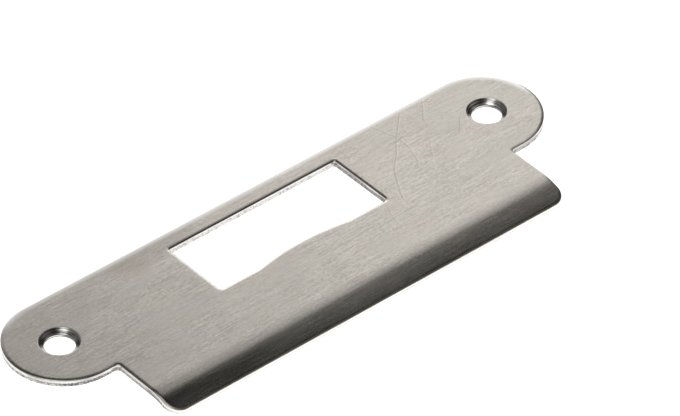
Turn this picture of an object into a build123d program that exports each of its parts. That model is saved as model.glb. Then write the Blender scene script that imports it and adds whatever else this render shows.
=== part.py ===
from build123d import *
import math
import os

# Door strike plate: one stamped and bent piece of stainless sheet, in millimetres.
# +X runs along the plate, +Y towards its long straight side and +Z out of the face that shows.
# The origin is on the back face, midway between the two screw holes.

# Sheet and outline. Each round end runs on straight for a little, up to the notch beside the lip.
sheet_thickness = 1.5
plate_length = 127.0
plate_width = 24.0
end_straight_length = 3.05
notch_radius = 0.8

# Lip: the sheet runs on past the near side, bends back and curves on gently to its tip
lip_flat_reach = 9.35
lip_inside_radius = 10.0
lip_bend_angle = 15.3
lip_curve_length = 4.4
lip_curve_angle = 3.3
lip_corner_radius = 3.2

# Screw holes, countersunk from the face that shows, each set in from its round end
screw_end_distance = 10.75
screw_hole_diameter = 6.0
countersink_diameter = 8.0
countersink_angle = 90.0

# Latch opening, with a low crown on its near side
opening_length = 41.0
opening_far_reach = 7.5
opening_near_reach = 8.0
opening_far_corner_radius = 0.4
opening_near_corner_radius = 0.8
crown_length = 22.0
crown_rise = 1.2
crown_blend_radius = 4.0

# Rolled edge that stamping leaves on the face that shows: a shallow slope with both ends blended
roll_width = 0.6
roll_depth = 0.22
roll_face_radius = 2.2
roll_wall_radius = 0.25

# How far a cutting shape stands out of the sheet
cut_margin = 1.0

# Worked out from the sizes above
half_width = plate_width / 2
half_lip = plate_length / 2 - half_width - end_straight_length
half_pitch = plate_length / 2 - screw_end_distance
half_opening = opening_length / 2
half_crown = crown_length / 2
lip_outside_radius = lip_inside_radius + sheet_thickness
bend_turn = math.radians(lip_bend_angle)
curve_turn = math.radians(lip_curve_angle)
curve_radius = lip_curve_length / curve_turn
SAME = 1e-6


def is_near(value, target):
    """Whether two lengths are the same, within rounding."""
    return abs(value - target) < SAME


def on_arc(centre, radius, turn):
    """A point of the lip's section, turned back from straight above the centre of an arc."""
    return (centre[0] - radius * math.sin(turn), centre[1] + radius * math.cos(turn))


def make_lip():
    """The lip's section, flat, then bent, then gently curved, drawn out along the plate."""
    outward = (0.0, 0.5, 1.0)
    inward = (1.0, 0.5, 0.0)
    bend_centre = (-half_width - lip_flat_reach, -lip_inside_radius)
    curve_centre = on_arc(bend_centre, lip_outside_radius - curve_radius, bend_turn)
    back_radius = curve_radius - sheet_thickness
    face_bend = [on_arc(bend_centre, lip_outside_radius, bend_turn * part) for part in outward]
    face_curve = [on_arc(curve_centre, curve_radius, bend_turn + curve_turn * part) for part in outward]
    back_curve = [on_arc(curve_centre, back_radius, bend_turn + curve_turn * part) for part in inward]
    back_bend = [on_arc(bend_centre, lip_inside_radius, bend_turn * part) for part in inward]
    section = make_face(
        [
            Line((0.0, sheet_thickness), face_bend[0]),
            ThreePointArc(*face_bend),
            ThreePointArc(*face_curve),
            Line(face_curve[-1], back_curve[0]),
            ThreePointArc(*back_curve),
            ThreePointArc(*back_bend),
            Polyline(back_bend[-1], (0.0, 0.0), (0.0, sheet_thickness)),
        ]
    )
    return extrude(Plane.YZ * section, half_lip, both=True)


def round_notches(plate):
    """Rounds the inner corner of each notch, where the lip leaves the plate's near side."""
    upright = plate.edges().filter_by(Axis.Z)
    at_lip_side = [edge for edge in upright if is_near(abs(edge.center().X), half_lip)]
    return fillet([edge for edge in at_lip_side if is_near(edge.center().Y, -half_width)], notch_radius)


def round_lip_corners(plate):
    """Rounds the blank's two corners at the lip's tip, square to the sheet there."""
    tip = plate.faces().sort_by(Axis.Y)[0]
    corners = [edge for edge in tip.edges() if is_near((edge @ 0).X, (edge @ 1).X)]
    return fillet(corners, lip_corner_radius)


def make_opening():
    """The latch opening: a rectangle whose near side rises in a shallow, blended crown."""
    near = -opening_near_reach
    far = opening_far_reach
    crown = ThreePointArc((-half_crown, near), (0.0, near + crown_rise), (half_crown, near))
    sides = Polyline(
        (half_crown, near),
        (half_opening, near),
        (half_opening, far),
        (-half_opening, far),
        (-half_opening, near),
        (-half_crown, near),
    )
    outline = Sketch() + make_face([crown, sides])
    crown_ends = [v for v in outline.vertices() if is_near(abs(v.X), half_crown)]
    outline = fillet(crown_ends, crown_blend_radius)
    near_corners = [v for v in outline.vertices() if is_near(abs(v.X), half_opening) and is_near(v.Y, near)]
    outline = fillet(near_corners, opening_near_corner_radius)
    far_corners = [v for v in outline.vertices() if is_near(v.Y, far)]
    return extrude(fillet(far_corners, opening_far_corner_radius), sheet_thickness)


def make_screw_hole():
    """A countersunk screw hole's shape, on the origin's upright line and past both faces."""
    hole_radius = screw_hole_diameter / 2
    rim_radius = countersink_diameter / 2
    spread = math.tan(math.radians(countersink_angle) / 2)
    sink_floor = sheet_thickness - (rim_radius - hole_radius) / spread
    section = make_face(
        Polyline(
            (0.0, -cut_margin),
            (hole_radius, -cut_margin),
            (hole_radius, sink_floor),
            (rim_radius + cut_margin * spread, sheet_thickness + cut_margin),
            (0.0, sheet_thickness + cut_margin),
            close=True,
        )
    )
    return revolve(Plane.XZ * section, Axis.Z)


def far_side_edges(plate, height, set_back):
    """The far side's edge and the opening's, at a height and set back into the sheet."""
    lines = [edge for edge in plate.edges().filter_by(Axis.X) if is_near(edge.center().Z, height)]
    places = (half_width - set_back, opening_far_reach + set_back)
    return [edge for edge in lines if any(is_near(edge.center().Y, place) for place in places)]


def roll_edges(plate):
    """Rolls the face's edge over, all round the outline and all round the opening."""
    face = plate.faces().filter_by(Axis.Z).sort_by(Axis.Z)[-1]
    plate = chamfer(far_side_edges(plate, sheet_thickness, 0.0), roll_width, roll_depth, reference=face)
    plate = fillet(far_side_edges(plate, sheet_thickness, roll_width), roll_face_radius)
    return fillet(far_side_edges(plate, sheet_thickness - roll_depth, 0.0), roll_wall_radius)


def make_strike_plate():
    """The whole plate: blank and lip, then their corners, the opening, the edges and the holes."""
    plate = extrude(SlotOverall(plate_length, plate_width), sheet_thickness) + make_lip()
    plate = round_lip_corners(round_notches(plate))
    plate = roll_edges(plate - make_opening())
    for x in (-half_pitch, half_pitch):
        plate -= Pos(x, 0.0, 0.0) * make_screw_hole()
    return plate


os.makedirs("parts", exist_ok=True)
export_step(make_strike_plate(), "parts/strike_plate.step")
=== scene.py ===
"""A door strike plate of brushed stainless sheet, lit softly on a pale floor."""

import logging
import math
from dataclasses import dataclass, field
from enum import Enum
from typing import Any

import bmesh
import bpy
from mathutils import Matrix, Vector


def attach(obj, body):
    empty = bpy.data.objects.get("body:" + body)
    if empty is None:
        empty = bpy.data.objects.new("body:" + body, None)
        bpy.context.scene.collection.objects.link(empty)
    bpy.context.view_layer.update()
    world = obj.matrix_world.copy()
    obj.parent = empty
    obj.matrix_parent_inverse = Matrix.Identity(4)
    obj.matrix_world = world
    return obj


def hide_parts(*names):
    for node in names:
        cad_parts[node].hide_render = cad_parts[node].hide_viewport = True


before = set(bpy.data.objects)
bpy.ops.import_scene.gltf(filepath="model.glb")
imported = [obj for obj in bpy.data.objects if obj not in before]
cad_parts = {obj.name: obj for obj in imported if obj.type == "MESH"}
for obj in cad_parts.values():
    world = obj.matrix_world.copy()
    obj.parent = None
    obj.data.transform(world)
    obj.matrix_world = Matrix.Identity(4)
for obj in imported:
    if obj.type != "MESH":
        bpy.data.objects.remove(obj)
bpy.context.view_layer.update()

log = logging.getLogger("strike_plate")
MM = 0.001
MERGE_DISTANCE = 1e-8  # points closer than this, in metres, are one
FLATNESS = 1e-7  # anything lower than this, in metres, is on the back
FACE_LEAN = 0.05  # how far up a normal points at least on the face
SHARP_TURN = math.radians(25)  # edges that turn more stay sharp
HOLE_STRETCHES = 128
Point = tuple[float, float]
Colour = tuple[float, float, float]


class Zone(Enum):
    """The plate's surfaces, told apart by the way each was made."""

    FACE = 0
    EDGE = 1
    COUNTERSINK = 2
    BACK = 3


# Node trees


class Signal:
    """A node's socket that arithmetic can be done with."""

    def __init__(self, tree: "Tree", socket: bpy.types.NodeSocket) -> None:
        """Keeps the socket and the tree that it belongs to."""
        self.tree = tree
        self.socket = socket

    def maths(self, operation: str, *terms: Any) -> "Signal":
        """Adds a Math node.

        Args:
            operation: The Math node's operation.
            terms: Numbers or signals, in the order of the node's sockets.

        Returns:
            The node's result.
        """
        return self.tree.node("ShaderNodeMath", {"operation": operation}, dict(enumerate(terms)))

    def __add__(self, other: Any) -> "Signal":
        """Adds."""
        return self.maths("ADD", self, other)

    def __sub__(self, other: Any) -> "Signal":
        """Takes away."""
        return self.maths("SUBTRACT", self, other)

    def __rsub__(self, other: Any) -> "Signal":
        """Takes away from a number."""
        return self.maths("SUBTRACT", other, self)

    def __mul__(self, other: Any) -> "Signal":
        """Multiplies."""
        return self.maths("MULTIPLY", self, other)

    def __truediv__(self, other: Any) -> "Signal":
        """Divides."""
        return self.maths("DIVIDE", self, other)

    __radd__ = __add__
    __rmul__ = __mul__

    def size(self) -> "Signal":
        """The value without its sign."""
        return self.maths("ABSOLUTE", self)

    def root(self) -> "Signal":
        """The square root."""
        return self.maths("SQRT", self)

    def at_least(self, other: Any) -> "Signal":
        """The larger of this and another value."""
        return self.maths("MAXIMUM", self, other)

    def at_most(self, other: Any) -> "Signal":
        """The smaller of this and another value."""
        return self.maths("MINIMUM", self, other)

    def ramp(self, start: float, end: float) -> "Signal":
        """Rises smoothly from 0 at the start value to 1 at the end value."""
        sockets = {"Value": self, "From Min": start, "From Max": end}
        return self.tree.node("ShaderNodeMapRange", {"interpolation_type": "SMOOTHSTEP"}, sockets)

    def fade(self, start: float, end: float) -> "Signal":
        """Falls smoothly from 1 at the start value to 0 at the end value."""
        return 1.0 - self.ramp(start, end)


class Tree:
    """A node tree, with one method that makes any node."""

    def __init__(self, tree: bpy.types.NodeTree) -> None:
        """Keeps Blender's own tree."""
        self.tree = tree

    def node(self, kind: str, settings: dict[str, Any], sockets: dict[Any, Any], output: Any = 0) -> Signal:
        """Makes a node, sets it, then fills or links its sockets.

        Args:
            kind: The node's type.
            settings: The node's own settings, set first.
            sockets: Values, signals or lists of signals, by the socket's name or place.
            output: The output's name or place.

        Returns:
            The output that was asked for.
        """
        made = self.tree.nodes.new(kind)
        for name, value in settings.items():
            setattr(made, name, value)
        for key, value in sockets.items():
            for each in value if isinstance(value, list) else [value]:
                if isinstance(each, Signal):
                    self.tree.links.new(each.socket, made.inputs[key])
                else:
                    made.inputs[key].default_value = each
        return Signal(self, made.outputs[output] if len(made.outputs) else None)

    def parts(self, vector: Signal) -> tuple[Signal, Signal, Signal]:
        """A vector's three numbers."""
        split = self.node("ShaderNodeSeparateXYZ", {}, {0: vector}).socket.node
        return tuple(Signal(self, out) for out in split.outputs)

    def vector(self, x: Any = 0.0, y: Any = 0.0, z: Any = 0.0) -> Signal:
        """A vector of three numbers."""
        return self.node("ShaderNodeCombineXYZ", {}, {"X": x, "Y": y, "Z": z})


class Shader(Tree):
    """The node tree of a material, lamp or world."""

    def __init__(self, owner: bpy.types.Material | bpy.types.World | bpy.types.Light) -> None:
        """Empties the node tree of what owns it.

        Args:
            owner: A material, a world or a lamp.
        """
        self.owner = owner
        owner.use_nodes = True
        super().__init__(owner.node_tree)
        self.tree.nodes.clear()

    def noise(self, where: Signal, scale: tuple[float, float, float], **sockets: float) -> Signal:
        """Noise stretched by a scale along each axis.

        Args:
            where: The place on the surface.
            scale: Waves in a millimetre along each axis.
            sockets: More of the noise node's values.

        Returns:
            The noise, about 0.5.
        """
        place = self.node("ShaderNodeVectorMath", {"operation": "MULTIPLY"}, {0: where, 1: scale})
        values = {"Vector": place, "Scale": 1.0} | {name.title(): value for name, value in sockets.items()}
        return self.node("ShaderNodeTexNoise", {}, values)

    def mix(self, amount: Any, a: Any, b: Any) -> Signal:
        """Mixes two colours."""
        return self.node("ShaderNodeMix", {"data_type": "RGBA"}, {0: amount, 6: a, 7: b}, 2)

    def line(self, value: Signal, points: list[Point]) -> Signal:
        """Reads a value off a smooth line.

        Args:
            value: Where it is read, from 0 to 1.
            points: The points that the line runs through, each from 0 to 1, in order.

        Returns:
            The line's height there.
        """
        read = self.node("ShaderNodeFloatCurve", {}, {"Value": value})
        mapping = read.socket.node.mapping
        knots = mapping.curves[0].points
        knots[0].location, knots[1].location = points[0], points[-1]
        for point in points[1:-1]:
            knots.new(*point)
        mapping.update()
        return read


def tint(colour: Colour, level: float = 1.0) -> tuple[float, float, float, float]:
    """A colour made lighter or darker, as a socket takes it."""
    return tuple(c * level for c in colour) + (1.0,)


class Surface(Shader):
    """A bare metal's shader, with each point's place in the flat blank and its colour so far."""

    def __init__(self, name: str) -> None:
        """Makes the material.

        Args:
            name: The material's name.
        """
        super().__init__(bpy.data.materials.new(name))
        spot = self.node("ShaderNodeAttribute", {"attribute_name": "blank"}, {}, "Vector")
        self.place = self.node("ShaderNodeVectorMath", {"operation": "SCALE"}, {0: spot, "Scale": 1 / MM})
        self.x, self.y, self.z = self.parts(self.place)
        self.paint: Any = tint((1.0, 1.0, 1.0))

    def lay(self, amount: Signal, colour: Colour, level: float = 1.0) -> None:
        """Lays a colour over the colour so far.

        Args:
            amount: How much of it shows, from 0 to 1.
            colour: The colour.
            level: How much lighter or darker it is made.
        """
        self.paint = self.mix(amount, self.paint, tint(colour, level))

    def metal(self, roughness: Signal, height: Signal, depth: float) -> bpy.types.Material:
        """Finishes the material.

        Args:
            roughness: How rough it is.
            height: How high its fine relief is, from 0 to 1.
            depth: How far 1 stands up, in metres.

        Returns:
            The material.
        """
        bump = self.node("ShaderNodeBump", {}, {"Strength": 1.0, "Distance": depth, "Height": height})
        sockets = {"Metallic": 1.0, "Base Color": self.paint, "Roughness": roughness, "Normal": bump}
        surface = self.node("ShaderNodeBsdfPrincipled", {}, sockets)
        self.node("ShaderNodeOutputMaterial", {}, {"Surface": surface})
        return self.owner


# Finishes, with their lengths in millimetres of the flat blank


@dataclass(frozen=True)
class Scratch:
    """A hairline scratch, by the points that it runs through, the lowest y first."""

    points: tuple[Point, ...]
    strength: float = 1.0
    width: float = 0.24
    burr_height: float = 0.55
    end_length: float = 1.2

    def mark(self, on: Surface) -> Signal:
        """Draws the scratch.

        Args:
            on: The surface that it is on.

        Returns:
            About -1 in the scratch, above 0 on the burr along one side, and 0 off it.
        """
        xs, ys = [p[0] for p in self.points], [p[1] for p in self.points]
        left, wide, low, high = min(xs), max(xs) - min(xs), ys[0], ys[-1]
        points = [((py - low) / (high - low), (px - left) / wide) for px, py in self.points]
        line = on.line((on.y - low) / (high - low), points)
        lean = math.hypot(1.0, (xs[-1] - xs[0]) / (high - low))
        off = (on.x - (line * wide + left)) / lean
        groove = off.size().fade(0.0, self.width)
        burr = (off - self.width).size().fade(0.0, self.width)
        ends = (on.y - low).ramp(0.0, self.end_length) * (high - on.y).ramp(0.0, self.end_length)
        return (self.burr_height * burr - groove) * ends * self.strength


@dataclass(frozen=True)
class Oval:
    """An oval part of the plate, by its middle and its half lengths."""

    middle: Point
    half: Point

    def away(self, on: Surface) -> Signal:
        """How far a place is from the middle, where 1 is on the oval itself."""
        along = (on.x - self.middle[0]) / self.half[0]
        across = (on.y - self.middle[1]) / self.half[1]
        return (along * along + across * across).root()


# The scratches that can be told one from another, most of them crossing the grain near the right end
SCRATCHES = (
    Scratch(
        ((22.75, -10.5), (23.5, -8.5), (24.75, -6.25), (27.25, -2.25), (30.5, 1.0))
        + ((33.5, 4.5), (35.0, 6.0), (37.0, 8.0), (40.0, 11.0))
    ),
    Scratch(((31.5, -4.0), (33.4, -0.5), (34.1, 3.5), (33.4, 7.5), (32.0, 11.25)), 0.8),
    Scratch(((41.25, 5.0), (41.75, 6.0), (43.5, 8.25), (45.75, 11.25)), 0.7),
    Scratch(((35.25, -4.25), (36.25, -2.75), (37.75, -0.5), (39.0, 2.0)), 0.4),
    Scratch(((43.75, -2.25), (45.75, 0.0), (48.0, 2.5)), 0.7),
    Scratch(((20.6, -7.25), (21.5, -5.25), (22.25, -4.0)), 0.6),
    Scratch(((17.25, -15.5), (17.75, -13.0), (18.75, -10.5), (19.75, -8.5)), 0.6),
    Scratch(((15.6, -18.5), (15.75, -15.5), (16.25, -12.5)), 0.35),
)

# Small dark pits, near the right end too
PITS = tuple(
    Oval((x, y), (size, size))
    for x, y, size in ((44.5, 3.75, 0.3), (47.0, -2.25, 0.35), (46.6, -2.0, 0.25), (41.2, 4.4, 0.25))
)


@dataclass(frozen=True)
class BrushedFace:
    """The face that shows: brushed along the plate, scratched, with painted highlights and painted shade
    along its edges.
    """

    colour: Colour = (0.58, 0.549, 0.498)
    highlight_colour: Colour = (0.96, 0.95, 0.92)
    stain_colour: Colour = (0.50, 0.425, 0.36)
    stain: Oval = Oval((-29.0, 8.3), (5.5, 3.2))
    haze: Oval = Oval((-24.0, 9.5), (15.0, 4.0))
    half_straight: float = 51.5
    half_width: float = 12.0
    opening_half: float = 20.5
    opening_far: float = 7.5
    opening_near: float = -8.0
    crown_half: float = 11.0
    crown_rise: float = 1.2
    bend_end: float = 25.4
    lip_tip: float = 29.0
    roughness: float = 0.25
    grain_height: float = 2.2e-6

    def marks(self, on: Surface) -> Signal:
        """Adds up the scratches and the pits.

        Args:
            on: The face's surface.

        Returns:
            Below 0 in a scratch or a pit, above 0 on a burr, and 0 elsewhere.
        """
        total = 0.0
        for scratch in SCRATCHES:
            total = scratch.mark(on) + total
        for pit in PITS:
            total = total - pit.away(on).fade(0.0, 1.0)
        return total

    def brush(self, on: Surface, amount: Signal) -> None:
        """Colours the brushed metal, a little warmer in some places than in others.

        Args:
            on: The face's surface.
            amount: How light the grain is, about 0.5.
        """
        hue = on.noise(on.place, (0.2, 0.24, 0.24), detail=1.0).ramp(0.4, 0.6)
        red, green, blue = self.colour
        warm, cool = (red * 1.01, green * 0.992, blue), (red * 0.995, green * 1.002, blue * 0.99)
        dark, light = (on.mix(hue, tint(warm, level), tint(cool, level)) for level in (0.8, 1.2))
        on.paint = on.mix(amount, dark, light)

    def mark_stain(self, on: Surface, patches: Signal, dashes: Signal) -> None:
        """Lays on the faint brown mark, and the dull haze round it.

        Args:
            on: The face's surface.
            patches: Broad noise, which makes the mark's edge uneven.
            dashes: The grain's noise, which breaks the mark up.
        """
        away = self.stain.away(on) + 1.2 * (patches - 0.5)
        on.lay(away.fade(0.35, 1.1) * (0.3 + 0.8 * dashes) * 0.6, self.stain_colour)
        on.lay(self.haze.away(on).fade(0.3, 1.1) * 0.3, self.colour, 0.65)

    def paint_outline_highlight_and_shade(self, on: Surface) -> None:
        """Paints a highlight along the far edge, and paints shade on the rolled edge round the ends.

        Args:
            on: The face's surface.
        """
        past = on.x - on.x.at_most(self.half_straight).at_least(-self.half_straight)
        inset = self.half_width - (past * past + on.y * on.y).root()
        far = ((0.5 * past + 0.87 * on.y) / self.half_width).ramp(0.25, 0.6)
        # Painted highlight along the far edge
        on.lay(inset.fade(0.2, 2.0) * far, self.highlight_colour)
        # Painted shade on the rolled edge round the ends, strongest on the right
        end = ((past.size() - 0.5 * on.y) / self.half_width).ramp(0.72, 1.0) * past.size().ramp(1.0, 4.0)
        strength = 0.15 + 0.5 * on.x.ramp(-10.0, 10.0)
        on.lay(inset.fade(0.3, 0.7) * end * strength, self.colour, 0.2)

    def paint_opening_highlight_and_shade(self, on: Surface) -> None:
        """Paints shade along the opening's far edge, and paints highlights along its near and left edges.

        Args:
            on: The face's surface.
        """
        beside = (self.opening_half + 0.2 - on.x.size()).ramp(0.0, 0.4)
        beyond = on.y - self.opening_far
        # Painted shade along the opening's far edge
        on.lay(beyond.fade(0.2, 0.95) * beyond.ramp(-0.5, -0.2) * beside * 0.55, self.colour, 0.25)
        crown = (1.0 - on.x * on.x / self.crown_half**2).at_least(0.0) * self.crown_rise
        near = crown + self.opening_near - on.y
        left = 0.0 - on.x - self.opening_half
        between = (7.8 - on.y.size()).ramp(0.0, 0.4)
        # Painted highlights along the opening's near edge, with its crown, and along its left end
        bright = near.fade(0.15, 0.8) * near.ramp(-0.3, -0.1) * beside
        bright = bright + left.fade(0.1, 0.7) * left.ramp(-0.3, -0.1) * between
        on.lay(bright * 0.6, self.highlight_colour)

    def make(self) -> bpy.types.Material:
        """Makes the material.

        Returns:
            The material.
        """
        on = Surface("brushed_face")
        specks = on.noise(on.place, (1.6, 3.0, 3.0), detail=2.0, roughness=0.7)
        dashes = on.noise(on.place, (0.25, 3.0, 3.0), detail=3.0, roughness=0.6)
        patches = on.noise(on.place, (0.09, 0.2, 0.2), detail=1.0)
        clouds = on.noise(on.place, (0.06, 0.13, 0.13), detail=2.0)
        strength = 0.6 + 0.8 * patches.ramp(0.35, 0.65)
        grain = (1.62 * (specks - 0.5) + 1.65 * (dashes - 0.5)) * strength
        marks = self.marks(on)
        self.brush(on, 0.5 + grain + 0.5 * (clouds - 0.5) + 0.65 * marks * (0.4 + 1.2 * dashes))
        self.mark_stain(on, patches, dashes)
        self.paint_outline_highlight_and_shade(on)
        self.paint_opening_highlight_and_shade(on)
        beyond = 0.0 - on.y
        pressed = beyond.ramp(22.8, self.bend_end) * beyond.fade(self.bend_end, self.lip_tip)
        uneven = 0.06 * (dashes - 0.5) + 0.05 * (clouds - 0.5)
        return on.metal(
            roughness=self.roughness + uneven - 0.09 * pressed * on.x.fade(-42.0, -2.0),
            height=0.6 * specks + 0.4 * dashes + 0.4 * marks,
            depth=self.grain_height,
        )


@dataclass(frozen=True)
class ShearedEdge:
    """The sheared wall: a burnished band, then a thin line of painted shade and a rougher, speckled break,
    with painted shade and highlights in places.
    """

    colour: Colour = (0.60, 0.588, 0.57)
    border: float = 0.72
    torn: Oval = Oval((-55.0, -11.0), (7.0, 7.0))
    opening_half: float = 20.5
    lip_end: float = -48.7
    grain_height: float = 1.2e-5

    def shear(self, on: Surface, above: Signal, burnish: Signal, specks: Signal, lines: Signal) -> None:
        """Colours the burnished band, the line of painted shade under it and the speckled break.

        Args:
            on: The wall's surface.
            above: How far a place is above the band's foot.
            burnish: 1 in the band and 0 in the break.
            specks: Noise in specks.
            lines: Noise in upright lines.
        """
        bands = on.noise(on.place, (0.15, 0.15, 0.0), detail=3.0).ramp(0.35, 0.6)
        torn = self.torn.away(on).fade(0.357, 1.0)
        # Painted shade: a thin dark line just under the burnished band
        painted_shade_line = above.ramp(-0.3, -0.14) * (1.0 - burnish) * lines.ramp(0.3, 0.6)
        light = (specks - 0.07 * torn).ramp(0.4, 0.56)
        broken = on.mix(light, tint(self.colour, 0.2), tint(self.colour, 1.05))
        broken = on.mix(painted_shade_line * (0.7 + 0.3 * torn), broken, tint(self.colour, 0.25))
        bright = on.mix(lines + 0.9 * (bands - 0.5), tint(self.colour, 0.75), tint(self.colour, 1.3))
        on.paint = on.mix(burnish, broken, bright)

    def make(self) -> bpy.types.Material:
        """Makes the material.

        Returns:
            The material.
        """
        on = Surface("sheared_edge")
        ragged = on.noise(on.place, (0.9, 0.9, 0.0), detail=5.0, roughness=0.7)
        specks = on.noise(on.place, (2.6, 2.6, 2.6), detail=3.0, roughness=0.7)
        lines = on.noise(on.place, (5.0, 5.0, 0.5), detail=2.0)
        layers = on.noise(on.place, (0.1, 0.1, 3.2), detail=2.0, roughness=0.6)
        inside = (21.5 - on.x.size()).ramp(0.0, 0.5) * (9.0 - on.y.size()).ramp(0.0, 0.5)
        side = inside * (on.x.size() - self.opening_half).ramp(-0.4, -0.1)
        above = on.z - (self.border + 0.2 * inside + 0.7 * (ragged - 0.5))
        burnish = above.ramp(-0.02, 0.04)
        self.shear(on, above, burnish, specks, lines)
        # The opening's walls: painted shade for the shaded floor under the plate that they mirror, darkest on
        # its end walls and broken there into layers, and lighter along its long sides
        painted_wall_shade = (0.2 * inside + 0.35 * side) * (1.0 - 0.8 * burnish) * (1.0 + 1.6 * (lines - 0.5))
        on.lay(painted_wall_shade, self.colour, 0.25)
        on.lay(side * layers.fade(0.38, 0.52) * 0.6, self.colour, 0.2)
        on.lay((inside - side) * (0.3 + 0.5 * specks.ramp(0.38, 0.5)), self.colour, 1.35)
        # The lip's left end in layers too, and a painted highlight on the walls near its tip
        beside = (on.x - self.lip_end).size().fade(1.0, 1.6) * (on.y + 18.2).size().fade(5.6, 7.4)
        streaks = 0.3 + 0.9 * layers.fade(0.38, 0.55)
        on.lay(beside * (1.2 - on.z).ramp(0.0, 0.15) * streaks, self.colour, 0.35)
        on.lay((0.0 - on.y).ramp(25.5, 28.0) * 0.7, self.colour, 1.5)
        return on.metal(
            roughness=0.42 - 0.2 * burnish + 0.15 * (specks - 0.5),
            height=specks * (1.0 - burnish) + 0.3 * lines,
            depth=self.grain_height,
        )


@dataclass(frozen=True)
class TurnedCountersink:
    """The cone and bore of a screw hole, with the rings that the cutter left, and painted highlights and
    painted shade.
    """

    colour: Colour = (0.60, 0.58, 0.55)
    hole_place: float = 52.75
    rim_radius: float = 4.0
    bore_height: float = 0.5
    ring_height: float = 1.4e-5

    def make(self) -> bpy.types.Material:
        """Makes the material.

        Returns:
            The material.
        """
        on = Surface("turned_countersink")
        off = on.x.size() - self.hole_place
        radius = (off * off + on.y * on.y).root()
        turned = on.vector(radius + 0.7 * on.z, 0.05 * on.x, 0.05 * on.y)
        rings = on.noise(turned, (2.6, 2.6, 2.6), detail=4.0, roughness=0.7)
        grain = on.noise(on.place, (2.0, 2.0, 4.0), detail=3.0)
        # A painted highlight on the bore's far side
        bore_highlight = ((0.35 * off * on.x.maths("SIGN", on.x) + 0.94 * on.y) / radius).ramp(0.75, 0.98)
        # Painted shade along the line where the cone meets the bore
        step = (on.z - self.bore_height).size().fade(0.03, 0.12)
        # Painted shade over the near side of the cone and the bore
        near_side = (on.y / radius).fade(-0.15, 0.35)
        # A painted highlight round the rim
        rim = (radius - self.rim_radius).ramp(-0.14, -0.02)
        cone = on.mix(rings.ramp(0.4, 0.6), tint(self.colour, 0.2), tint(self.colour, 1.4))
        cone = on.mix(grain.ramp(0.35, 0.75) * 0.3, cone, tint(self.colour, 0.5))
        # The bore: the painted highlight on its far side, and painted shade low down in it
        bore = on.mix(bore_highlight * on.z.ramp(0.05, 0.25), tint(self.colour, 0.3), tint(self.colour, 1.1))
        on.paint = on.mix((on.z - self.bore_height).ramp(-0.05, 0.0), bore, cone)
        on.lay(step * 0.85, self.colour, 0.15)
        on.lay(near_side * 0.75, self.colour, 0.25)
        on.lay(rim * 0.5, self.colour, 1.4)
        return on.metal(
            roughness=0.24 + 0.25 * (rings - 0.5) + 0.1 * (grain - 0.5),
            height=rings + 0.3 * grain,
            depth=self.ring_height,
        )


@dataclass(frozen=True)
class MillBack:
    """The back, left as the sheet came from the mill."""

    colour: Colour = (0.50, 0.48, 0.45)
    grain_height: float = 3e-6

    def make(self) -> bpy.types.Material:
        """Makes the material.

        Returns:
            The material.
        """
        on = Surface("mill_back")
        grain = on.noise(on.place, (0.4, 4.0, 4.0), detail=4.0, roughness=0.6)
        clouds = on.noise(on.place, (0.08, 0.2, 0.2), detail=3.0)
        amount = 0.5 + 0.9 * (grain - 0.5) + 0.6 * (clouds - 0.5)
        on.paint = on.mix(amount, tint(self.colour, 0.8), tint(self.colour, 1.15))
        return on.metal(
            roughness=0.38 + 0.12 * (grain - 0.5) + 0.1 * (clouds - 0.5),
            height=grain,
            depth=self.grain_height,
        )


# Shapes


def rounded(corners: list[tuple[float, float, float]], step: float) -> list[Point]:
    """Rounds a closed outline's corners and divides its sides.

    Args:
        corners: Each corner's x, y and radius, in the order of travel. A radius of 0 keeps a point as it is.
        step: About how long a divided stretch is.

    Returns:
        The outline's points.
    """
    runs: list[list[Vector]] = []
    for i, (x, y, radius) in enumerate(corners):
        here = Vector((x, y))
        before = (Vector(corners[i - 1][:2]) - here).normalized()
        after = (Vector(corners[(i + 1) % len(corners)][:2]) - here).normalized()
        turn = math.pi - before.angle(after)
        if radius == 0.0 or turn < 1e-6:
            runs.append([here])
            continue
        reach = radius * math.tan(turn / 2)
        centre = here + (before + after).normalized() * math.hypot(radius, reach)
        # At least six stretches, each no longer than the step and turning by 9 degrees at most
        count = max(6, math.ceil(turn * radius / step), math.ceil(math.degrees(turn) / 9))
        first = here + before * reach - centre
        way = 1 if before.cross(after) < 0 else -1
        runs.append([centre + Matrix.Rotation(way * turn * k / count, 2) @ first for k in range(count + 1)])
    points: list[Point] = []
    for i, run in enumerate(runs):
        points += [tuple(p) for p in run]
        gap = runs[(i + 1) % len(runs)][0] - run[-1]
        pieces = max(1, round(gap.length / step))
        points += [tuple(run[-1] + gap * k / pieces) for k in range(1, pieces)]
    return points


def arc(centre: Point, radius: float, start: float, end: float, count: int) -> list[Point]:
    """Points along an arc.

    Args:
        centre: The arc's centre.
        radius: Its radius.
        start: The first point's angle, in degrees.
        end: The last point's angle, in degrees.
        count: How many stretches it is divided into.

    Returns:
        The points.
    """
    turns = (math.radians(start + (end - start) * k / count) for k in range(count + 1))
    return [(centre[0] + radius * math.cos(t), centre[1] + radius * math.sin(t)) for t in turns]


def draw(name: str, points: list[Point], closed: bool) -> bpy.types.Object:
    """Makes a curve object of straight stretches.

    Args:
        name: The object's name.
        points: The line's points.
        closed: Whether the line is closed.

    Returns:
        The object.
    """
    curve = bpy.data.curves.new(name, "CURVE")
    curve.dimensions = "3D"
    spline = curve.splines.new("POLY")
    spline.points.add(len(points) - 1)
    spline.points.foreach_set("co", [value for x, y in points for value in (x, y, 0.0, 1.0)])
    spline.use_cyclic_u = closed
    made = bpy.data.objects.new(name, curve)
    bpy.context.scene.collection.objects.link(made)
    return made


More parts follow.
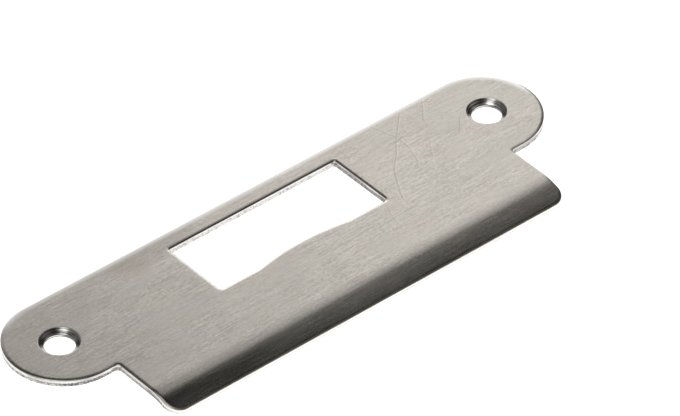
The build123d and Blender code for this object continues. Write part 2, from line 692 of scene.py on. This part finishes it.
class GeometryTree(Tree):
    """A Geometry Nodes tree with named inputs."""

    def __init__(self, name: str) -> None:
        """Starts a tree that takes and gives a geometry.

        Args:
            name: The tree's name.
        """
        super().__init__(bpy.data.node_groups.new(name, "GeometryNodeTree"))
        for way in ("INPUT", "OUTPUT"):
            self.tree.interface.new_socket("Geometry", in_out=way, socket_type="NodeSocketGeometry")
        self.values: dict[str, Any] = {}
        self.start = self.tree.nodes.new("NodeGroupInput")
        self.end = self.tree.nodes.new("NodeGroupOutput")

    def given(self) -> Signal:
        """The geometry that the tree takes."""
        return Signal(self, self.start.outputs["Geometry"])

    def input(self, name: str, value: Any) -> Signal:
        """Adds a named input and remembers its value.

        Args:
            name: The input's name.
            value: A number, an object or a material.

        Returns:
            The input inside the tree.
        """
        kinds = {float: "Float", bpy.types.Object: "Object", bpy.types.Material: "Material"}
        kind = f"NodeSocket{kinds[type(value)]}"
        socket = self.tree.interface.new_socket(name, in_out="INPUT", socket_type=kind)
        self.values[socket.identifier] = value
        return Signal(self, self.start.outputs[name])

    def finish(self, geometry: Signal, carrier: bpy.types.Object) -> bpy.types.Mesh:
        """Runs the tree on an object.

        Args:
            geometry: What the tree gives.
            carrier: The object that the tree starts from.

        Returns:
            The result as a plain mesh.
        """
        self.tree.links.new(geometry.socket, self.end.inputs[0])
        modifier = carrier.modifiers.new(self.tree.name, "NODES")
        modifier.node_group = self.tree
        for identifier, value in self.values.items():
            modifier[identifier] = value
        bpy.context.view_layer.update()
        graph = bpy.context.evaluated_depsgraph_get()
        made = carrier.evaluated_get(graph)
        mesh = bpy.data.meshes.new_from_object(made, preserve_all_data_layers=True, depsgraph=graph)
        carrier.modifiers.remove(modifier)
        return mesh


@dataclass(frozen=True)
class Roll:
    """The rolled edge that shearing leaves on the face: a shallow slope with both of its ends rounded."""

    width: float
    depth: float
    face_radius: float
    wall_radius: float

    def section(self, top: float, inner: float) -> list[Point]:
        """The edge's section, over the roll and down the sheared wall.

        Args:
            top: The sheet's thickness.
            inner: How far inside the edge the section starts.

        Returns:
            Distances out of the sheet and down from its back, as the sweep takes them.
        """
        slope = math.atan2(self.depth, self.width)
        lean = math.degrees(slope)
        reach = self.face_radius * math.tan(slope / 2)
        face = arc((self.width + reach, top - self.face_radius), self.face_radius, 90, 90 + lean, 6)
        drop = self.wall_radius * math.tan((math.pi / 2 - slope) / 2)
        wall = arc((self.wall_radius, top - self.depth - drop), self.wall_radius, 90 + lean, 180, 6)
        # The burnished band is upright, and the break below it leans in a little
        points = [(inner, top), *face, *wall, (0.0, 0.98 * MM), (0.0, 0.7 * MM)]
        points += [(0.02 * MM, 0.66 * MM), (0.03 * MM, 0.44 * MM), (0.04 * MM, 0.22 * MM), (0.05 * MM, 0.0)]
        return [(-inward, -height) for inward, height in points]


@dataclass
class StrikePlate:
    """The plate: a sheared and countersunk blank of one sheet, with its lip bent back."""

    thickness: float = 1.5 * MM
    length: float = 127.0 * MM
    width: float = 24.0 * MM
    end_straight: float = 3.05 * MM
    notch_radius: float = 0.8 * MM
    lip_flat_reach: float = 9.35 * MM
    bend_radius: float = 11.5 * MM
    bend_angle: float = 15.3
    curve_length: float = 4.36 * MM
    curve_angle: float = 3.3
    lip_corner_radius: float = 3.2 * MM
    screw_end_distance: float = 10.75 * MM
    hole_radius: float = 3.0 * MM
    sink_radius: float = 4.0 * MM
    opening_length: float = 41.0 * MM
    opening_far_reach: float = 7.5 * MM
    opening_near_reach: float = 8.0 * MM
    opening_far_corner: float = 0.4 * MM
    opening_near_corner: float = 0.8 * MM
    crown_length: float = 22.0 * MM
    crown_rise: float = 1.2 * MM
    crown_blend: float = 4.0 * MM
    outline_roll: Roll = Roll(0.48 * MM, 0.13 * MM, 2.1 * MM, 0.18 * MM)
    opening_roll: Roll = Roll(0.4 * MM, 0.16 * MM, 1.2 * MM, 0.14 * MM)
    margin: float = 1.6 * MM
    step: float = 0.3 * MM
    bend_row: float = 0.15 * MM
    bend_rows: int = 21
    curve_row: float = 0.3 * MM
    curve_rows: int = 14

    def __post_init__(self) -> None:
        """Works out the places that several shapes share."""
        self.half_lip = self.length / 2 - self.width / 2 - self.end_straight
        self.bend_start = -self.width / 2 - self.lip_flat_reach
        self.curve_start = self.bend_start - self.bend_radius * math.radians(self.bend_angle)
        self.tip = self.curve_start - self.curve_length
        self.hole_place = self.length / 2 - self.screw_end_distance

    def outline(self) -> list[Point]:
        """Draws the flat blank's outline.

        Returns:
            Its points, with the sheet on the left of the way that they run.
        """
        lip, end, side = self.half_lip, self.length / 2, self.width / 2
        corner, notch = self.lip_corner_radius, self.notch_radius
        lip_tip = [(-lip, self.tip, corner), (lip, self.tip, corner)]
        right_end = [(lip, -side, notch), (end, -side, side), (end, side, side)]
        left_end = [(-end, side, side), (-end, -side, side), (-lip, -side, notch)]
        return rounded(lip_tip + right_end + left_end, self.step)

    def opening(self) -> list[Point]:
        """Draws the latch opening's outline, with its crown blended into the near side.

        Returns:
            Its points, with the sheet on the left of the way that they run.
        """
        near, far, half = -self.opening_near_reach, self.opening_far_reach, self.opening_length / 2
        half_crown = self.crown_length / 2
        radius = (half_crown**2 + self.crown_rise**2) / (2 * self.crown_rise)
        low = near + self.crown_rise - radius
        reach = math.sqrt((radius + self.crown_blend) ** 2 - (near + self.crown_blend - low) ** 2)
        lean = math.degrees(math.asin(reach / (radius + self.crown_blend)))
        blend = arc((reach, near + self.crown_blend), self.crown_blend, -90, -90 - lean, 4)
        crown = arc((0.0, low), radius, 90 - lean, 90, 40)[1:]
        right = blend + crown
        left = [(-x, y) for x, y in reversed(right[:-1])]
        corners = [
            (-half, far, self.opening_far_corner),
            (half, far, self.opening_far_corner),
            (half, near, self.opening_near_corner),
            *[(x, y, 0.0) for x, y in right + left],
            (-half, near, self.opening_near_corner),
        ]
        return rounded(corners, self.step)

    def hole_section(self) -> list[Point]:
        """Draws a screw hole's section, from the face over its eased rim, down the cone and the bore.

        Returns:
            Distances out of the hole's wall and down from the sheet's back, as the sweep takes them.
        """
        top, rim = self.thickness, self.sink_radius - self.hole_radius
        soft = 0.1 * MM
        reach = soft * math.tan(math.pi / 8)
        rim_roll = arc((rim + reach, top - soft), soft, 90, 135, 4)
        points = [(rim + 0.3 * MM, top), *rim_roll, (0.0, top - rim), (0.0, 0.0)]
        return [(-outward, -height) for outward, height in points]

    def sweep(self, tree: GeometryTree, path: Signal, section: Signal) -> Signal:
        """Sweeps a section along a path and keeps it upright.

        Args:
            tree: The tree that it is made in.
            path: The path.
            section: The section.

        Returns:
            The surface.
        """
        upright = tree.node("GeometryNodeSetCurveNormal", {"mode": "Z_UP"}, {"Curve": path})
        return tree.node("GeometryNodeCurveToMesh", {}, {"Curve": upright, "Profile Curve": section})

    def sweep_edges(self, first_finish: bpy.types.Material) -> bpy.types.Mesh:
        """Sweeps a section round the outline, the opening and each hole.

        Args:
            first_finish: The material that the mesh gets, until its zones are dressed.

        Returns:
            The swept edges.
        """
        outline = draw("outline", self.outline(), True)
        lines = {
            "Outline Section": self.outline_roll.section(self.thickness, self.margin),
            "Opening Path": self.opening(),
            "Opening Section": self.opening_roll.section(self.thickness, self.margin),
            "Hole Section": self.hole_section(),
        }
        parts = {name: draw(name, points, name == "Opening Path") for name, points in lines.items()}
        tree = GeometryTree("sheared_edges")
        shapes = {
            name: tree.node("GeometryNodeObjectInfo", {}, {"Object": tree.input(name, part)}, "Geometry")
            for name, part in parts.items()
        }
        radius, place = tree.input("Hole Radius", self.hole_radius), tree.input("Hole Place", self.hole_place)
        around = self.sweep(tree, tree.given(), shapes["Outline Section"])
        window = self.sweep(tree, shapes["Opening Path"], shapes["Opening Section"])
        sockets = {"Resolution": HOLE_STRETCHES, "Radius": radius}
        circle = tree.node("GeometryNodeCurvePrimitiveCircle", {}, sockets)
        turned = tree.node("GeometryNodeReverseCurve", {}, {"Curve": circle})
        cone = self.sweep(tree, turned, shapes["Hole Section"])
        ends = {"Start Location": tree.vector(place * -1.0), "Offset": tree.vector(place)}
        line = tree.node(
            "GeometryNodeMeshLine", {"mode": "END_POINTS", "count_mode": "TOTAL"}, {"Count": 2} | ends
        )
        holes = tree.node("GeometryNodeInstanceOnPoints", {}, {"Points": line, "Instance": cone})
        every = tree.node("GeometryNodeJoinGeometry", {}, {0: [around, window, holes]})
        real = tree.node("GeometryNodeRealizeInstances", {}, {0: every})
        finish = tree.input("Finish", first_finish)
        dressed = tree.node("GeometryNodeSetMaterial", {}, {0: real, "Material": finish})
        mesh = tree.finish(dressed, outline)
        for used in (outline, *parts.values()):
            bpy.data.objects.remove(used)
        return mesh

    def fill_faces(self, mesh: bpy.types.Mesh) -> None:
        """Closes the face and the back between the swept edges, divides the lip and marks each face's zone.

        Args:
            mesh: The swept edges, changed in place.
        """
        work = bmesh.new()
        work.from_mesh(mesh)
        bmesh.ops.remove_doubles(work, verts=work.verts, dist=MERGE_DISTANCE)
        for high in (True, False):
            rim = [e for e in work.edges if e.is_boundary and (e.verts[0].co.z > self.thickness / 2) == high]
            made = bmesh.ops.triangle_fill(work, use_beauty=True, use_dissolve=False, edges=rim)["geom"]
            for face in (item for item in made if isinstance(item, bmesh.types.BMFace)):
                face.normal_update()
                if (face.normal.z > 0) != high:
                    face.normal_flip()
        rows = [self.bend_start - self.bend_row * k for k in range(self.bend_rows)]
        rows += [self.curve_start - self.curve_row * (k + 1) for k in range(self.curve_rows)]
        for y in rows:
            lip = [v for v in work.verts if v.co.y < -self.width / 2 - 1 * MM]
            near = list({item for v in lip for item in (v, *v.link_edges, *v.link_faces)})
            cut = {"plane_co": (0, y, 0), "plane_no": (0, 1, 0)}
            bmesh.ops.bisect_plane(work, geom=near, dist=MERGE_DISTANCE, **cut)
        zone = work.faces.layers.int.new("zone")
        work.normal_update()
        for face in work.faces:
            middle = face.calc_center_median()
            off_hole = math.hypot(abs(middle.x) - self.hole_place, middle.y)
            if off_hole < self.sink_radius and middle.z > FLATNESS:
                face[zone] = Zone.COUNTERSINK.value
            elif middle.z < FLATNESS:
                face[zone] = Zone.BACK.value
            else:
                face[zone] = (Zone.FACE if face.normal.z > FACE_LEAN else Zone.EDGE).value
        work.to_mesh(mesh)
        work.free()

    def bend(
        self, tree: GeometryTree, shape: Signal, name: str, start: float, radius: float, angle: float
    ) -> Signal:
        """Bends everything beyond a line back round a cylinder.

        Args:
            tree: The tree that it is made in.
            shape: What is bent.
            name: The bend's name, for its inputs.
            start: Where it starts, along y.
            radius: Its radius on the face that shows.
            angle: How far it turns, in degrees.

        Returns:
            The bent shape.
        """
        begin, outer = tree.input(f"{name} Start", start), tree.input(f"{name} Radius", radius)
        turn = tree.input(f"{name} Turn", math.radians(angle))
        inner = outer - tree.input(f"{name} Sheet", self.thickness)
        x, y, z = tree.parts(tree.node("GeometryNodeInputPosition", {}, {}))
        past = (begin - y).at_least(0.0)
        length = outer * turn
        along = past.at_most(length) / outer
        rest = (past - length).at_least(0.0)
        sine, cosine = along.maths("SINE", along), along.maths("COSINE", along)
        swing = inner + z
        new_y = y.at_least(begin) - swing * sine - rest * cosine
        new_z = swing * cosine - inner - rest * sine
        sockets = {"Geometry": shape, "Position": tree.vector(x, new_y, new_z)}
        return tree.node("GeometryNodeSetPosition", {}, sockets)

    def press(self, flat: bpy.types.Object, finishes: dict[Zone, bpy.types.Material]) -> bpy.types.Mesh:
        """Bends the lip, keeps where each point was in the flat blank, and dresses each zone.

        Args:
            flat: The flat blank.
            finishes: Each zone's material.

        Returns:
            The finished mesh.
        """
        tree = GeometryTree("pressed_lip")
        place = tree.node("GeometryNodeInputPosition", {}, {})
        settings = {"data_type": "FLOAT_VECTOR", "domain": "POINT"}
        sockets = {"Geometry": tree.given(), "Name": "blank", "Value": place}
        shape = tree.node("GeometryNodeStoreNamedAttribute", settings, sockets)
        curve_radius = self.curve_length / math.radians(self.curve_angle)
        shape = self.bend(tree, shape, "Curve", self.curve_start, curve_radius, self.curve_angle)
        shape = self.bend(tree, shape, "Bend", self.bend_start, self.bend_radius, self.bend_angle)
        turn = tree.node("GeometryNodeInputMeshEdgeAngle", {}, {}, "Unsigned Angle")
        settings = {"data_type": "FLOAT", "operation": "LESS_THAN"}
        soft = tree.node("FunctionNodeCompare", settings, {0: turn, 1: SHARP_TURN})
        for domain, smooth in (("FACE", True), ("EDGE", soft)):
            sockets = {0: shape, "Shade Smooth": smooth}
            shape = tree.node("GeometryNodeSetShadeSmooth", {"domain": domain}, sockets)
        shape = tree.node("GeometryNodeRealizeInstances", {}, {0: shape})
        zone = tree.node("GeometryNodeInputNamedAttribute", {"data_type": "INT"}, {"Name": "zone"})
        settings = {"data_type": "INT", "operation": "EQUAL"}
        for kind, material in finishes.items():
            same = tree.node("FunctionNodeCompare", settings, {2: zone, 3: kind.value})
            finish = tree.input(kind.name, material)
            sockets = {"Geometry": shape, "Selection": same, "Material": finish}
            shape = tree.node("GeometryNodeSetMaterial", {}, sockets)
        return tree.finish(shape, flat)

    def build(self) -> bpy.types.Object:
        """Makes the plate and dresses it.

        Returns:
            The plate's object.
        """
        finishes = {
            Zone.FACE: BrushedFace().make(),
            Zone.EDGE: ShearedEdge().make(),
            Zone.COUNTERSINK: TurnedCountersink().make(),
            Zone.BACK: MillBack().make(),
        }
        mesh = self.sweep_edges(finishes[Zone.FACE])
        self.fill_faces(mesh)
        blank = bpy.data.objects.new("blank", mesh)
        bpy.context.scene.collection.objects.link(blank)
        plate = bpy.data.objects.new("pressed_plate", self.press(blank, finishes))
        bpy.data.objects.remove(blank)
        bpy.context.scene.collection.objects.link(plate)
        return plate


@dataclass(frozen=True)
class Patch:
    """A part of the room that is darker or brighter than the rest, round a way out from the plate."""

    way: tuple[float, float, float]
    inner_angle: float
    outer_angle: float
    level: float

    def over(self, shader: Shader, way: Signal, glow: Any) -> Signal:
        """Lays the patch over the room.

        Args:
            shader: The room's shader.
            way: The way that is looked in.
            glow: The room's level so far.

        Returns:
            The level with the patch.
        """
        sockets = {0: way, 1: Vector(self.way).normalized()}
        facing = shader.node("ShaderNodeVectorMath", {"operation": "DOT_PRODUCT"}, sockets, 1)
        inner, outer = (math.cos(math.radians(angle)) for angle in (self.inner_angle, self.outer_angle))
        return facing.ramp(outer, inner) * (self.level - glow) + glow


# By each way: x to the right, y to the back. The last four light the face in other views than the photo's.
ROOM = (
    Patch((0.9, 0.1, 0.35), 15, 38, 0.06),  # on the right
    Patch((-0.08, 0.6, 0.8), 12, 30, 0.04),  # above, at the back
    Patch((0.3, -0.72, 0.6), 22, 42, 0.05),  # in front
    Patch((0.5, -0.4, 0.75), 12, 32, 0.17),  # above, in front
    Patch((0.5, 0.27, 0.82), 15, 42, 0.0),  # above the softbox, where the bent lip mirrors it
    Patch((-0.6, -0.24, 0.76), 9, 20, 2.6),  # the lamp, high on the left
    Patch((0.65, -0.75, 0.0), 18, 34, 0.9),  # low in front, on the right
    Patch((-0.68, -0.7, 0.15), 22, 42, 0.9),  # low in front, on the left
    Patch((-0.7, 0.7, 0.0), 15, 30, 0.8),  # low at the back, on the left
    Patch((-0.2, 0.05, 1.0), 13, 27, 0.75),  # straight above
)


@dataclass
class Studio:
    """The floor, the lights and the camera."""

    floor_front: Point = (-28.0 * MM, -1.612 * MM)
    floor_back: Point = (12.0 * MM, 0.0)
    floor_half: float = 2.0
    aim: Vector = field(default_factory=lambda: Vector((11.996, -4.147, 1.5)) * MM)
    azimuth: float = -40.354
    elevation: float = 39.524
    camera_distance: float = 1269.864 * MM
    softbox_distance: float = 650.0 * MM
    softbox_width: float = 900.0 * MM
    softbox_height: float = 740.0 * MM
    softbox_foot: float = 0.55
    room_level: float = 0.3
    floor_glow: float = 0.9
    sensor_width: float = 36.0
    focal_length: float = 353.92

    def __post_init__(self) -> None:
        """Works out the way to the camera, and the way in which the flat face mirrors it."""
        turn, rise = math.radians(self.azimuth), math.radians(self.elevation)
        level = math.cos(rise)
        self.back = Vector((math.sin(turn) * level, -math.cos(turn) * level, math.sin(rise)))
        self.mirrored = Vector((-self.back.x, -self.back.y, self.back.z))

    def floor(self) -> bpy.types.Object:
        """Makes the floor that the plate lies on, from its far side to its lip's tip.

        Returns:
            The floor's object.
        """
        (y0, z0), (y1, z1) = self.floor_front, self.floor_back
        slope = (z1 - z0) / (y1 - y0)
        mesh = bpy.data.meshes.new("floor")
        far, near = self.floor_half, -self.floor_half
        square = ((near, near), (far, near), (far, far), (near, far))
        mesh.from_pydata([(x, y, z0 + slope * (y - y0)) for x, y in square], [], [(0, 1, 2, 3)])
        mesh.materials.append(self.floor_finish())
        floor = bpy.data.objects.new("floor", mesh)
        bpy.context.scene.collection.objects.link(floor)
        return floor

    def floor_finish(self) -> bpy.types.Material:
        """Makes the floor's material, which looks white and still takes the plate's shadow.

        Returns:
            The material.
        """
        shader = Shader(bpy.data.materials.new("pale_floor"))
        seen = shader.node("ShaderNodeLightPath", {}, {}, "Is Camera Ray")
        for kind in ("Is Glossy Ray", "Is Transmission Ray"):
            seen = seen.at_least(shader.node("ShaderNodeLightPath", {}, {}, kind))
        sockets = {
            "Base Color": (0.85, 0.85, 0.85, 1.0),
            "Roughness": 0.9,
            "Emission Color": (1.0, 1.0, 1.0, 1.0),
            "Emission Strength": seen * self.floor_glow,
        }
        plain = shader.node("ShaderNodeBsdfPrincipled", {}, sockets)
        shader.node("ShaderNodeOutputMaterial", {}, {"Surface": plain})
        return shader.owner

    def softbox_level(self, shader: Shader) -> Signal:
        """Works out how bright the softbox is, by lengths from its middle in millimetres.

        It is weaker to the left and at the far right. Its top slants and is cut off softly, with a weak
        tail on the right, and a weak strip runs along its foot.

        Args:
            shader: The softbox's shader.

        Returns:
            Its level.
        """
        across, up, _ = shader.parts(shader.node("ShaderNodeNewGeometry", {}, {}, "Parametric"))
        right = (0.5 - across) * (self.softbox_width / MM)
        high = (up - 0.5) * (self.softbox_height / MM)
        level = 0.35 + 0.645 * (right - 0.6 * high).ramp(-192.0, 18.0)
        level = level * (1.0 - 0.85 * right.ramp(55.0, 330.0))
        tail = 0.15 * right.ramp(-30.0, 60.0)
        slanted = high - 0.95 * right.at_most(110.0).at_least(-30.0)
        top = 1.0 - (1.0 - tail) * slanted.ramp(70.0, 238.0) - tail * high.ramp(250.0, 365.0)
        return level * top + self.softbox_foot * (0.0 - high).ramp(130.0, 290.0)

    def softbox(self) -> None:
        """Hangs the large softbox that the face mirrors."""
        side = self.mirrored.cross(Vector((0.0, 0.0, 1.0))).normalized()
        rise = side.cross(self.mirrored)
        light = bpy.data.lights.new("softbox", "AREA")
        light.shape = "RECTANGLE"
        light.size, light.size_y = self.softbox_width, self.softbox_height
        light.energy = math.pi * light.size * light.size_y
        shader = Shader(light)
        glow = shader.node("ShaderNodeEmission", {}, {"Strength": self.softbox_level(shader)})
        shader.node("ShaderNodeOutputLight", {}, {"Surface": glow})
        lamp = bpy.data.objects.new("softbox", light)
        turn = Matrix((-side, rise, self.mirrored)).transposed().to_4x4()
        lamp.matrix_world = Matrix.Translation(self.aim + self.mirrored * self.softbox_distance) @ turn
        bpy.context.scene.collection.objects.link(lamp)

    def air(self) -> None:
        """Makes the grey room round the plate, with its darker and brighter parts."""
        world = bpy.data.worlds.new("room")
        bpy.context.scene.world = world
        shader = Shader(world)
        way = shader.node("ShaderNodeTexCoord", {}, {}, "Generated")
        glow = self.room_level
        for patch in ROOM:
            glow = patch.over(shader, way, glow)
        sockets = {"Color": (1.0, 1.0, 1.0, 1.0), "Strength": glow}
        background = shader.node("ShaderNodeBackground", {}, sockets)
        shader.node("ShaderNodeOutputWorld", {}, {"Surface": background})

    def camera(self) -> None:
        """Sets the camera where the picture was taken from."""
        lens = bpy.data.cameras.new("camera")
        lens.sensor_width = self.sensor_width
        lens.lens = self.focal_length
        camera = bpy.data.objects.new("camera", lens)
        camera.location = self.aim + self.back * self.camera_distance
        camera.rotation_euler = self.back.to_track_quat("Z", "Y").to_euler()
        bpy.context.scene.collection.objects.link(camera)
        bpy.context.scene.camera = camera

    def build(self) -> None:
        """Makes the studio."""
        self.floor()
        self.softbox()
        self.air()
        bpy.context.scene.view_settings.view_transform = "Standard"
        self.camera()


def main() -> None:
    """Builds the plate and its studio."""
    logging.basicConfig(level=logging.INFO, format="%(message)s")
    plate = StrikePlate().build()
    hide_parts("strike_plate")
    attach(plate, "root")
    plate.data.calc_loop_triangles()
    size = [round(side / MM, 3) for side in plate.dimensions]
    log.info("strike plate: %d triangles, %s mm", len(plate.data.loop_triangles), size)
    Studio().build()
    log.info("studio: floor, lamps and camera")


if __name__ == "__main__":
    main()
